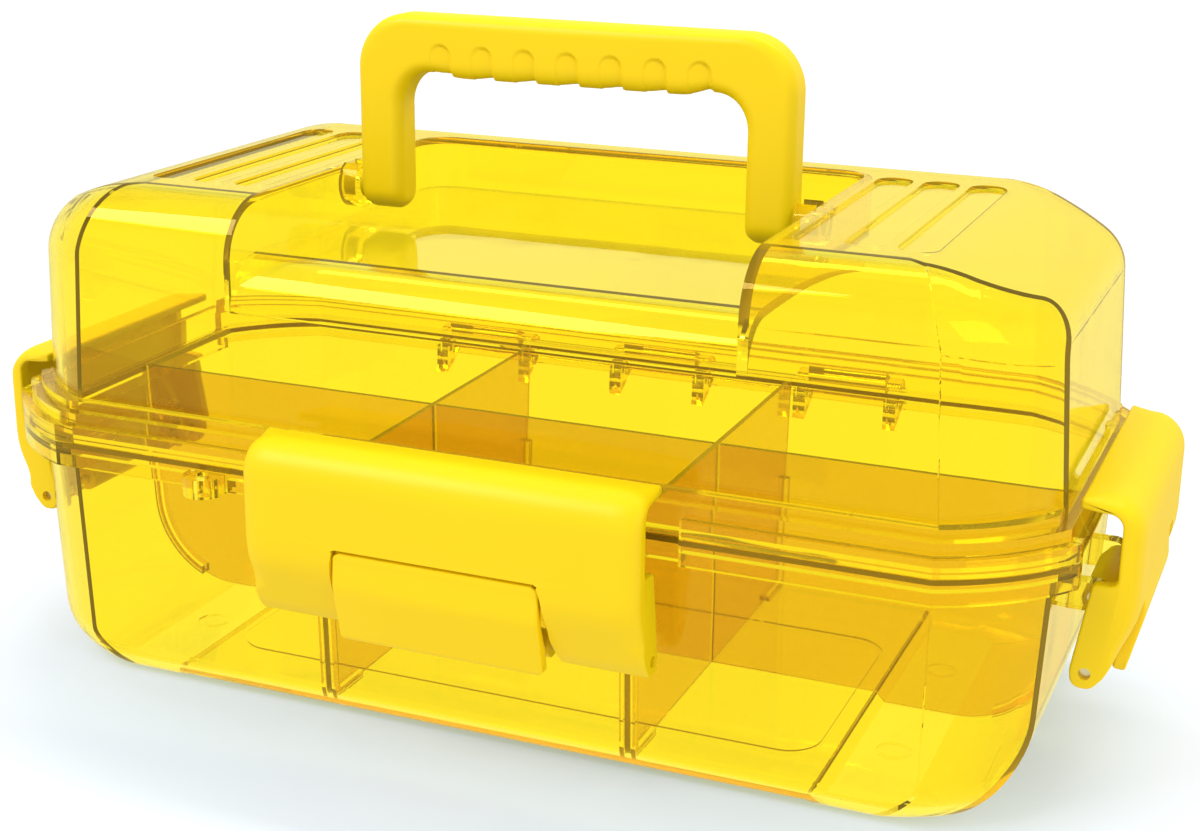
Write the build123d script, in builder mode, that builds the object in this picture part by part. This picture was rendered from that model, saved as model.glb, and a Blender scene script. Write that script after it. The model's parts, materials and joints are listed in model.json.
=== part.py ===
from build123d import *
import os
from math import radians, sqrt, tan

os.makedirs("parts", exist_ok=True)

# ---------------------------------------------------------------- sizes, mm
# Plan of the rims: flat front and ends, joined by broad round corners
rim_half_length = 199.0
rim_half_depth = 98.5
corner_radius = 82.6
corner_in_x = 69.8  # corner centre, in from the flat end
corner_in_y = 76.6  # corner centre, in from the flat front

# Heights
rim_z = 93.5  # top face of the base rim
rim_gap = 0.3  # between the two closed rims
lid_top = 183.5
wall = 3.0
fit_gap = 0.3  # between parts that lie close without touching
running_gap = 0.05  # round a pin that turns

# Base
base_step = 7.5  # rim face to the wall below it
base_draft = 2.4  # degrees
base_end_radius = 38.0  # ends curve in strongly to the floor
base_front_radius = 12.0
base_corner_radius = 18.0
foot_height = 3.5  # the floor is raised between the two end feet
foot_inner_x = 124.0
floor_line = (116.0, 52.0, 14.0)  # half length, half depth, corner radius of the line round the raised floor
floor_line_y = -7.0
floor_line_width = 1.4
floor_mark_depth = 0.6
pin_mark_x = 138.0  # round marks left by the mould's ejector pins
pin_mark_y = 36.0
pin_mark_radius = 6.2
base_rim_height = 9.0
base_rim_plate = 5.0
base_rim_skirt = 2.6

# Lid
lid_step_front = 12.0
lid_step_end = 6.0
lid_step_corner = 11.5
lid_front_draft = 0.7  # degrees
lid_end_draft = 3.6
roof_edge_in = 49.0  # the roof starts to slope this far in from the rim's end
roof_drop = 14.0  # and is this much lower at the end wall
roof_edge_radius = 60.0
end_edge_radius = 16.0
front_edge_radius = 22.0
rear_edge_radius = 8.0
front_corner_edge_radius = 24.0
rear_corner_edge_radius = 12.0
lid_rim_bands = ((0.0, 6.0), (3.5, 4.0), (7.5, 3.0))  # (set in, height) from the joint up

# Recess for the handle, between the two raised shoulders
recess_floor_z = 163.5
recess_rear_y = 68.0
recess_corner_radius = 12.0
recess_front_radius = 18.0

# Shallow channels along each shoulder's top
channel_margin = 12.2  # recess wall to the middle of the first channel
channel_pitch = 17.2
channel_width = 13.4
channel_half_length = 58.5
channel_back = 3.5  # the channels lie a little to the rear
channel_depth = 1.4
channel_count = 3

# Seal: a cord in a groove of the base rim, pressed by a tongue of the lid rim
groove_inset = 7.0
groove_width = 4.0
groove_depth = 3.2
gasket_width = 3.4
gasket_height = 1.9
tongue_width = 2.2

# Rear hinge
hinge_out = 6.0  # rod axis, behind the rim
hinge_down = 3.0  # and below the joint face
rod_radius = 2.0
rod_half_length = 103.0
knuckle_radius = 5.5
gusset_x = (18.4, 61.7, 99.0)
gusset_width = 5.0
gusset_drop = 14.0  # root of the gusset, below the rod axis
knuckle_spans = ((-18.4, 18.4), (61.7, 99.0), (-99.0, -61.7))

# Handle
handle_half_width = 84.0
handle_top = 241.0
handle_leg = 17.5
handle_grip = 21.5
handle_depth = 16.0
handle_corner_radius = 15.0
handle_inner_radius = 9.0
handle_edge_radius = 4.5
handle_pivot_z = 176.5
handle_pin_radius = 5.0
handle_side_gap = 8.0  # leg to shoulder wall
handle_pin_gap = 0.6  # pin end to shoulder wall
boss_radius = 9.0
boss_gap = 1.0  # leg to boss
boss_mouth = 8.4  # the snap opening, narrower than the pin
ridge_count = 7
ridge_pitch = 16.5
ridge_radius = 10.0
ridge_drop = 4.6  # ridges below the grip's underside
ridge_pad_drop = 3.4

# Dividers
divider_thickness = 2.0
divider_top = 93.0
cross_x = 57.7
guide_depth = 3.0
guide_width = 1.6
front_guide_top = 41.0
rear_guide_top = 53.0
guide_reach = 22.0  # how far each guide runs in over the floor's round

# Seal eyelet beside the front latch
eyelet_x = -96.0
eyelet_out = 3.0
eyelet_radius = 7.0
eyelet_bore_radius = 2.25
eyelet_height = 7.0
eyelet_drop = 9.5

# Latches, in their own section: out from the rim's face, and up from the joint face
latch_places = {"front": (72.0, 37.5), "right": (54.0, 30.0), "left": (54.0, 30.0)}
latch_notch = 3.5  # the rims are narrower behind a latch
latch_zone_margin = 7.0
latch_out = 17.5
latch_top = 17.9
lip_bottom = 13.3
lip_in = -3.0
plate = 3.2
cheek = 4.5
link_out, link_z = 2.7, -42.3
pivot_out, pivot_z = -0.5, -28.0
pin_radius = 2.0
barrel_radius = 4.6
lug_radius = 5.0
lug_width = 6.0
lug_in = 18.0  # inner face of the two lugs, from the latch's middle
window_radius = 30.3  # the window's top edge curves about the link pin
window_gap = 0.7
window_in = 4.5  # the window is cut from here outwards
window_flare = 2.0
window_flare_z = -35.0
web = 3.0
web_out = 8.0  # a web's distance beside the window
pin_recess = 2.0

# ---------------------------------------------------------------- derived sizes
corner_x = rim_half_length - corner_in_x
corner_y = rim_half_depth - corner_in_y
reach = 40.0  # how far cutting shapes run past what they cut
far = 2 * rim_half_length
base_rim_bottom = rim_z - base_rim_height
lid_bottom = rim_z + rim_gap
hinge_y = rim_half_depth + hinge_out
hinge_z = rim_z - hinge_down
floor_z = foot_height + wall
roof_edge_x = rim_half_length - roof_edge_in
recess_half_width = handle_half_width + handle_side_gap
channel_first_x = recess_half_width + channel_margin
boss_length = handle_side_gap - boss_gap
grip_bottom = handle_top - handle_grip
latch_reach = rim_half_depth + latch_out
rear_reach = hinge_y + knuckle_radius
middle_y = (latch_reach - rear_reach) / 2  # puts the origin under the middle of the footprint


def write(piece, name, x=0):
    piece.part.position = (x, middle_y, 0)
    piece.part.label = name
    export_step(piece.part, f"parts/{name}.step")


# ---------------------------------------------------------------- shared outlines
def rim_outline(inset):
    radius = corner_radius - inset
    with BuildSketch() as outline:
        RectangleRounded(2 * (corner_x + radius), 2 * (corner_y + radius), radius)
        Rectangle(2 * (rim_half_length - inset), 2 * (rim_half_depth - inset), mode=Mode.INTERSECT)
    return outline.sketch


def rim_ring(outer_inset, inner_inset):
    outer = rim_outline(outer_inset)
    inner = rim_outline(inner_inset)
    with BuildSketch() as ring:
        add(outer)
        add(inner, mode=Mode.SUBTRACT)
    return ring.sketch


def latch_zones():
    with BuildSketch() as zones:
        for place, (half_width, _) in latch_places.items():
            length = 2 * (half_width + latch_zone_margin)
            if place == "front":
                with Locations((0, -rim_half_depth)):
                    Rectangle(length, 2 * corner_in_y / 4)
            else:
                side = 1 if place == "right" else -1
                with Locations((side * rim_half_length, 0)):
                    Rectangle(2 * corner_in_x / 4, length)
    return zones.sketch


def base_end_profile(inset):
    slope = tan(radians(base_draft))
    top = rim_z + reach
    wall_x = rim_half_length - base_step
    with BuildSketch(Plane.XZ) as profile:
        with BuildLine():
            FilletPolyline(
                (0, foot_height),
                (foot_inner_x - foot_height, foot_height),
                (foot_inner_x, 0),
                (wall_x - rim_z * slope, 0),
                (wall_x + reach * slope, top),
                (0, top),
                radius=[0, 0, 0, base_end_radius, 0, 0],
                close=True,
            )
        make_face()
        mirror(about=Plane.YZ)
        if inset:
            offset(amount=-inset, kind=Kind.INTERSECTION)
    return profile.sketch


def base_side_profile(inset):
    slope = tan(radians(base_draft))
    top = rim_z + reach
    wall_y = rim_half_depth - base_step
    with BuildSketch(Plane.YZ) as profile:
        with BuildLine():
            FilletPolyline(
                (-(wall_y - rim_z * slope), 0),
                (wall_y - rim_z * slope, 0),
                (wall_y + reach * slope, top),
                (-(wall_y + reach * slope), top),
                radius=[base_front_radius, base_front_radius, 0, 0],
                close=True,
            )
        make_face()
        if inset:
            offset(amount=-inset, kind=Kind.INTERSECTION)
    return profile.sketch


def base_form(inset):
    end_profile = base_end_profile(inset)
    side_profile = base_side_profile(inset)
    radius = corner_radius - base_step - inset
    with BuildPart() as form:
        with BuildSketch(Plane.XY.offset(rim_z)) as plan:
            RectangleRounded(2 * (corner_x + radius), 2 * (corner_y + radius), radius)
        extrude(amount=inset - rim_z, taper=base_draft)
        fillet(form.edges().group_by(Axis.Z)[0], base_corner_radius - inset)
        if inset:
            extrude(plan.sketch, amount=reach)
        extrude(end_profile, amount=far, both=True, mode=Mode.INTERSECT)
        extrude(side_profile, amount=far, both=True, mode=Mode.INTERSECT)
    return form.part


def lid_end_profile(inset):
    wall_x = rim_half_length - lid_step_end
    slope = tan(radians(lid_end_draft))
    eave_z = lid_top - roof_drop
    eave_x = wall_x - (eave_z - lid_bottom) * slope
    foot_x = wall_x + reach * slope
    with BuildSketch(Plane.XZ) as profile:
        with BuildLine():
            FilletPolyline(
                (-foot_x, lid_bottom - reach),
                (foot_x, lid_bottom - reach),
                (eave_x, eave_z),
                (roof_edge_x, lid_top),
                (-roof_edge_x, lid_top),
                (-eave_x, eave_z),
                radius=[0, 0, end_edge_radius, roof_edge_radius, roof_edge_radius, end_edge_radius],
                close=True,
            )
        make_face()
        if inset:
            offset(amount=-inset, kind=Kind.INTERSECTION)
    return profile.sketch


def lid_block(inset, side, edge_radius):
    # A smooth-cornered block under the same sloping roof; one side's corners count, the other
    # side runs out past the lid
    radius = corner_radius - lid_step_corner - inset
    roof_slope = roof_drop / (rim_half_length - lid_step_end - roof_edge_x)
    roof_end_x = corner_x + corner_radius + reach
    roof_end_z = lid_top - (roof_end_x - roof_edge_x) * roof_slope
    with BuildPart() as block:
        with BuildSketch(Plane.XY.offset(lid_bottom)) as plan:
            with Locations((0, -side * reach)):
                RectangleRounded(2 * (corner_x + radius), 2 * (corner_y + radius + reach), radius)
        extrude(amount=lid_top, taper=lid_end_draft / 2)
        with BuildSketch(Plane.XZ):
            with BuildLine():
                FilletPolyline(
                    (-roof_end_x, 0),
                    (roof_end_x, 0),
                    (roof_end_x, roof_end_z),
                    (roof_edge_x, lid_top),
                    (-roof_edge_x, lid_top),
                    (-roof_end_x, roof_end_z),
                    radius=[0, 0, 0, roof_edge_radius, roof_edge_radius, 0],
                    close=True,
                )
            make_face()
            if inset:
                offset(amount=-inset, kind=Kind.INTERSECTION)
        extrude(amount=far, both=True, mode=Mode.INTERSECT)
        roof = block.faces().filter_by(lambda face: face.normal_at().Z > 0.5)
        loop = [edge for edge in roof.edges() if len([face for face in roof if edge in face.edges()]) == 1]
        fillet(loop, edge_radius - inset)
        if inset:
            extrude(plan.sketch, amount=-reach)
    return block.part


def lid_wall_y(z):
    return rim_half_depth - lid_step_front - (z - lid_bottom) * tan(radians(lid_front_draft))


def lid_side_profile(inset):
    foot_y = lid_wall_y(lid_bottom - reach)
    top_y = lid_wall_y(lid_top)
    with BuildSketch(Plane.YZ) as profile:
        with BuildLine():
            FilletPolyline(
                (-foot_y, lid_bottom - reach),
                (foot_y, lid_bottom - reach),
                (top_y, lid_top),
                (-top_y, lid_top),
                radius=[0, 0, rear_edge_radius, front_edge_radius],
                close=True,
            )
        make_face()
        if inset:
            offset(amount=-inset, kind=Kind.INTERSECTION)
    return profile.sketch


def recess_form(inset):
    # The space cut out between the shoulders: open at the front, closed at the rear
    floor = recess_floor_z - inset
    radius = recess_front_radius - inset
    front_y = -(lid_wall_y(floor) - inset)
    rear = recess_rear_y + inset
    top = lid_top + reach
    with BuildPart() as form:
        with BuildSketch(Plane.YZ):
            with BuildLine():
                Polyline(
                    (front_y, floor - radius),
                    (front_y - reach, floor - radius),
                    (front_y - reach, top),
                    (rear, top),
                    (rear, floor),
                    (front_y + radius, floor),
                )
                RadiusArc((front_y + radius, floor), (front_y, floor - radius), -radius)
            make_face()
        extrude(amount=recess_half_width + inset, both=True)
        rear_edges = form.edges().filter_by(Axis.Z).group_by(Axis.Y)[-1]
        fillet(rear_edges, recess_corner_radius + inset)
    return form.part


def lid_form(inset):
    end_profile = lid_end_profile(inset)
    side_profile = lid_side_profile(inset)
    recess = recess_form(inset)
    rear_block = lid_block(inset, 1, rear_corner_edge_radius)
    with BuildPart() as form:
        add(lid_block(inset, -1, front_corner_edge_radius))
        add(rear_block, mode=Mode.INTERSECT)
        extrude(end_profile, amount=far, both=True, mode=Mode.INTERSECT)
        extrude(side_profile, amount=far, both=True, mode=Mode.INTERSECT)
        add(recess, mode=Mode.SUBTRACT)
    return form.part


def latch_section(place):
    if place == "front":
        return Plane(origin=(0, -rim_half_depth, rim_z), x_dir=(0, -1, 0), z_dir=(-1, 0, 0))
    side = 1 if place == "right" else -1
    return Plane(origin=(side * rim_half_length, 0, rim_z), x_dir=(side, 0, 0), z_dir=(0, -side, 0))


# ---------------------------------------------------------------- base shell
base_outer = base_form(0)
base_inner = base_form(wall)
guide_core = base_form(wall + guide_depth)
base_outline = rim_outline(0)
base_skirt = rim_ring(0, base_rim_skirt)
groove_ring = rim_ring(groove_inset - groove_width / 2, groove_inset + groove_width / 2)
notch_outline = rim_outline(latch_notch)
notch_ring = rim_ring(latch_notch, base_step + wall / 2)
zones = latch_zones()

with BuildSketch() as notch_cut:
    add(zones)
    add(notch_outline, mode=Mode.SUBTRACT)
with BuildSketch() as notch_fill:
    add(zones)
    add(notch_ring, mode=Mode.INTERSECT)

guide_pitch = divider_thickness + 2 * fit_gap + guide_width
with BuildPart() as guides:
    # Pairs of ribs hold each divider's ends: front, rear and both end walls
    guide_rows = (
        (-1, front_guide_top),
        (1, rear_guide_top),
    )
    for side, top in guide_rows:
        wall_y = side * (rim_half_depth - guide_reach / 2)
        with BuildSketch(Plane.XY):
            for x in (-cross_x, cross_x):
                with Locations((x - guide_pitch / 2, wall_y), (x + guide_pitch / 2, wall_y)):
                    Rectangle(guide_width, guide_reach + 2 * base_front_radius)
        extrude(amount=top)
    with BuildSketch(Plane.XY):
        for side in (-1, 1):
            wall_x = side * (rim_half_length - guide_reach / 2)
            with Locations((wall_x, -guide_pitch / 2), (wall_x, guide_pitch / 2)):
                Rectangle(guide_reach + 2 * base_front_radius, guide_width)
    extrude(amount=rear_guide_top)
    add(base_outer, mode=Mode.INTERSECT)
    add(guide_core, mode=Mode.SUBTRACT)

with BuildPart() as base_shell:
    add(base_outer)
    with BuildSketch(Plane.XY.offset(rim_z - base_rim_plate)):
        add(base_outline)
    extrude(amount=base_rim_plate)
    with BuildSketch(Plane.XY.offset(base_rim_bottom)):
        add(base_skirt)
    extrude(amount=base_rim_height)
    with BuildSketch(Plane.XY.offset(base_rim_bottom)):
        add(notch_fill.sketch)
    extrude(amount=base_rim_height)
    with BuildSketch(Plane.XY.offset(base_rim_bottom)):
        add(notch_cut.sketch)
    extrude(amount=base_rim_height, mode=Mode.SUBTRACT)
    # Rear gussets that carry the hinge rod
    for x in [side * x for x in gusset_x for side in (-1, 1)]:
        with BuildSketch(Plane.YZ.offset(x)):
            Polygon(
                (rim_half_depth - base_step - wall / 2, hinge_z - gusset_drop),
                (hinge_y + knuckle_radius * 0.8, hinge_z - knuckle_radius * 0.6),
                (hinge_y, rim_z - fit_gap),
                (rim_half_depth - base_step - wall / 2, rim_z - fit_gap),
                align=None,
            )
            with Locations((hinge_y, hinge_z)):
                Circle(knuckle_radius)
        extrude(amount=gusset_width / 2, both=True)
    with BuildSketch(Plane.YZ):
        with Locations((hinge_y, hinge_z)):
            Circle(rod_radius)
    extrude(amount=far, both=True, mode=Mode.SUBTRACT)
    # Lugs for the three latches' pivot pins
    for place in latch_places:
        for side in (-1, 1):
            with BuildSketch(latch_section(place).offset(side * (lug_in + lug_width / 2))):
                with Locations((pivot_out, pivot_z)):
                    Circle(lug_radius)
                root = base_step + wall / 2 + pivot_out
                with Locations((pivot_out - root / 2, pivot_z)):
                    Rectangle(root, 2 * lug_radius)
                with Locations((pivot_out, pivot_z)):
                    Circle(pin_radius, mode=Mode.SUBTRACT)
            extrude(amount=lug_width / 2, both=True)
    # Seal eyelet
    eyelet_y = -(rim_half_depth + eyelet_out)
    with BuildSketch(Plane.XY.offset(rim_z - eyelet_drop)):
        with Locations((eyelet_x, eyelet_y)):
            Circle(eyelet_radius)
        root = base_step + wall / 2 + eyelet_out
        with Locations((eyelet_x, eyelet_y + root / 2)):
            Rectangle(2 * eyelet_radius, root)
        with Locations((eyelet_x, eyelet_y)):
            Circle(eyelet_bore_radius, mode=Mode.SUBTRACT)
    extrude(amount=eyelet_height)
    # Inside: the hollow, the seal's groove and the divider guides
    add(base_inner, mode=Mode.SUBTRACT)
    with BuildSketch(Plane.XY.offset(rim_z - groove_depth)):
        add(groove_ring)
    extrude(amount=groove_depth, mode=Mode.SUBTRACT)
    add(guides.part)
    # A shallow line round the raised floor, and the round ejector marks beside it
    with BuildSketch(Plane.XY.offset(floor_z)):
        half_length, half_depth, radius = floor_line
        with Locations((0, floor_line_y)):
            RectangleRounded(2 * half_length, 2 * half_depth, radius)
            RectangleRounded(
                2 * (half_length - floor_line_width),
                2 * (half_depth - floor_line_width),
                radius - floor_line_width,
                mode=Mode.SUBTRACT,
            )
    extrude(amount=-floor_mark_depth, mode=Mode.SUBTRACT)
    with BuildSketch(Plane.XY.offset(wall)):
        with GridLocations(2 * pin_mark_x, 2 * pin_mark_y, 2, 2):
            Circle(pin_mark_radius)
            Circle(pin_mark_radius - floor_line_width, mode=Mode.SUBTRACT)
    extrude(amount=-floor_mark_depth, mode=Mode.SUBTRACT)
write(base_shell, "base_shell")

# ---------------------------------------------------------------- seal and hinge rod
gasket_ring = rim_ring(groove_inset - gasket_width / 2, groove_inset + gasket_width / 2)
with BuildPart() as rim_gasket:
    with BuildSketch(Plane.XY.offset(rim_z - groove_depth)):
        add(gasket_ring)
    extrude(amount=gasket_height)
write(rim_gasket, "rim_gasket")

with BuildPart() as hinge_rod:
    with BuildSketch(Plane.YZ):
        with Locations((hinge_y, hinge_z)):
            Circle(rod_radius)
    extrude(amount=rod_half_length, both=True)
write(hinge_rod, "hinge_rod")

# ---------------------------------------------------------------- lid shell
lid_outer = lid_form(0)
lid_inner = lid_form(wall)
lid_bands = [(rim_outline(inset), height) for inset, height in lid_rim_bands]
tongue_ring = rim_ring(groove_inset - tongue_width / 2, groove_inset + tongue_width / 2)
tongue_bottom = rim_z - groove_depth + gasket_height + fit_gap

with BuildPart() as lid_shell:
    add(lid_outer)
    band_z = lid_bottom
    for outline, height in lid_bands:
        with BuildSketch(Plane.XY.offset(band_z)):
            add(outline)
        extrude(amount=height)
        band_z += height
    with BuildSketch(Plane.XY.offset(lid_bottom)):
        add(notch_cut.sketch)
    extrude(amount=band_z - lid_bottom, mode=Mode.SUBTRACT)
    add(lid_inner, mode=Mode.SUBTRACT)
    with BuildSketch(Plane.XY.offset(tongue_bottom)):
        add(tongue_ring)
    extrude(amount=lid_bottom - tongue_bottom + wall)
    # Channels along the shoulders' tops
    with BuildSketch(Plane.XY.offset(lid_top)):
        for side in (-1, 1):
            for i in range(channel_count):
                x = side * (channel_first_x + i * channel_pitch)
                with Locations((x, channel_back)):
                    SlotOverall(2 * channel_half_length, channel_width, rotation=90)
    extrude(amount=-channel_depth, mode=Mode.SUBTRACT)
    # Snap bosses for the handle's pins
    for side in (-1, 1):
        with BuildSketch(Plane.YZ.offset(side * recess_half_width)):
            with Locations((0, handle_pivot_z)):
                Circle(boss_radius)
        extrude(amount=-side * boss_length)
        with BuildSketch(Plane.YZ.offset(side * recess_half_width)):
            with Locations((0, handle_pivot_z)):
                Circle(handle_pin_radius + running_gap)
            with Locations((0, handle_pivot_z + boss_radius)):
                Rectangle(boss_mouth, 2 * boss_radius)
        extrude(amount=-side * boss_length, mode=Mode.SUBTRACT)
    # Hinge knuckles between the base's gussets
    for left, right in knuckle_spans:
        length = right - left - gusset_width - 2 * fit_gap
        with BuildSketch(Plane.YZ.offset((left + right) / 2)):
            Polygon(
                (rim_half_depth - lid_rim_bands[1][0], lid_bottom),
                (rim_half_depth - lid_rim_bands[1][0], lid_bottom + lid_rim_bands[0][1]),
                (rim_half_depth, lid_bottom + lid_rim_bands[0][1]),
                (hinge_y + knuckle_radius * 0.6, hinge_z + knuckle_radius * 0.8),
                (hinge_y, lid_bottom),
                align=None,
            )
            with Locations((hinge_y, hinge_z)):
                Circle(knuckle_radius)
                Circle(rod_radius + running_gap, mode=Mode.SUBTRACT)
        extrude(amount=length / 2, both=True)
write(lid_shell, "lid_shell")

# ---------------------------------------------------------------- handle
with BuildPart() as handle:
    with BuildSketch(Plane.XZ) as handle_front:
        leg_bottom = handle_pivot_z - handle_depth / 2
        inner_x = handle_half_width - handle_leg
        with BuildLine():
            FilletPolyline(
                (-handle_half_width, leg_bottom),
                (-handle_half_width, handle_top),
                (handle_half_width, handle_top),
                (handle_half_width, leg_bottom),
                (inner_x, leg_bottom),
                (inner_x, grip_bottom),
                (-inner_x, grip_bottom),
                (-inner_x, leg_bottom),
                radius=[0, handle_corner_radius, handle_corner_radius, 0,
                        0, handle_inner_radius, handle_inner_radius, 0],
                close=True,
            )
        make_face()
    extrude(amount=handle_depth / 2, both=True)
    with BuildSketch(Plane.YZ):
        with Locations((0, (handle_pivot_z + handle_top) / 2)):
            Rectangle(handle_depth + 1, handle_top - handle_pivot_z)
        with Locations((0, handle_pivot_z)):
            Circle(handle_depth / 2)
    extrude(amount=far, both=True, mode=Mode.INTERSECT)
    outer_edges = handle.edges().filter_by(
        lambda edge: edge.center().Z > handle_pivot_z + 1 and abs(abs(edge.center().Y) - handle_depth / 2) < 0.01
    )
    fillet(outer_edges, handle_edge_radius)
    # Finger ridges under the grip
    ridge_span = (ridge_count - 1) * ridge_pitch
    with BuildSketch(Plane.XZ):
        for i in range(ridge_count):
            x = i * ridge_pitch - ridge_span / 2
            with Locations((x, grip_bottom - ridge_drop + ridge_radius)):
                Circle(ridge_radius)
        with Locations((0, grip_bottom)):
            SlotOverall(ridge_span + ridge_pitch, 2 * ridge_pad_drop)
        with Locations((0, handle_top)):
            Rectangle(4 * handle_half_width, 2 * (handle_top - grip_bottom - handle_edge_radius), mode=Mode.SUBTRACT)
    extrude(amount=handle_depth / 2 - handle_edge_radius / 2, both=True)
    # Round pins that snap into the shoulders' bosses
    with BuildSketch(Plane.YZ):
        with Locations((0, handle_pivot_z)):
            Circle(handle_pin_radius)
    pin_end = recess_half_width - handle_pin_gap
    extrude(amount=pin_end, both=True)
    with BuildSketch(Plane.YZ):
        with Locations((0, handle_pivot_z)):
            Rectangle(3 * handle_depth, 3 * handle_depth)
    # The pins don't cross the space between the legs
    extrude(amount=inner_x, both=True, mode=Mode.SUBTRACT)
write(handle, "handle")

# ---------------------------------------------------------------- dividers
divider_space = base_form(wall + fit_gap)
divider_bottom = floor_z + fit_gap
slot_width = divider_thickness + 2 * fit_gap
slot_z = (divider_bottom + divider_top) / 2
slot_length = divider_top - slot_z

with BuildPart() as long_divider:
    with BuildSketch(Plane.XZ):
        with Locations((0, divider_top / 2)):
            Rectangle(2 * rim_half_length, divider_top)
    extrude(amount=divider_thickness / 2, both=True)
    add(divider_space, mode=Mode.INTERSECT)
    with BuildSketch(Plane.XZ):
        for x in (-cross_x, cross_x):
            with Locations((x, divider_top - slot_length / 2)):
                Rectangle(slot_width, slot_length)
    extrude(amount=divider_thickness, both=True, mode=Mode.SUBTRACT)
write(long_divider, "long_divider")

for side, name in ((-1, "cross_divider_left"), (1, "cross_divider_right")):
    with BuildPart() as cross_divider:
        with BuildSketch(Plane.YZ):
            with Locations((0, divider_top / 2)):
                Rectangle(2 * rim_half_depth, divider_top)
        extrude(amount=divider_thickness / 2, both=True)
        add(divider_space, mode=Mode.INTERSECT)
        with BuildSketch(Plane.YZ):
            with Locations((0, slot_z + fit_gap - slot_length)):
                Rectangle(slot_width, 2 * slot_length)
        extrude(amount=divider_thickness, both=True, mode=Mode.SUBTRACT)
    write(cross_divider, name, side * cross_x)

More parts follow.
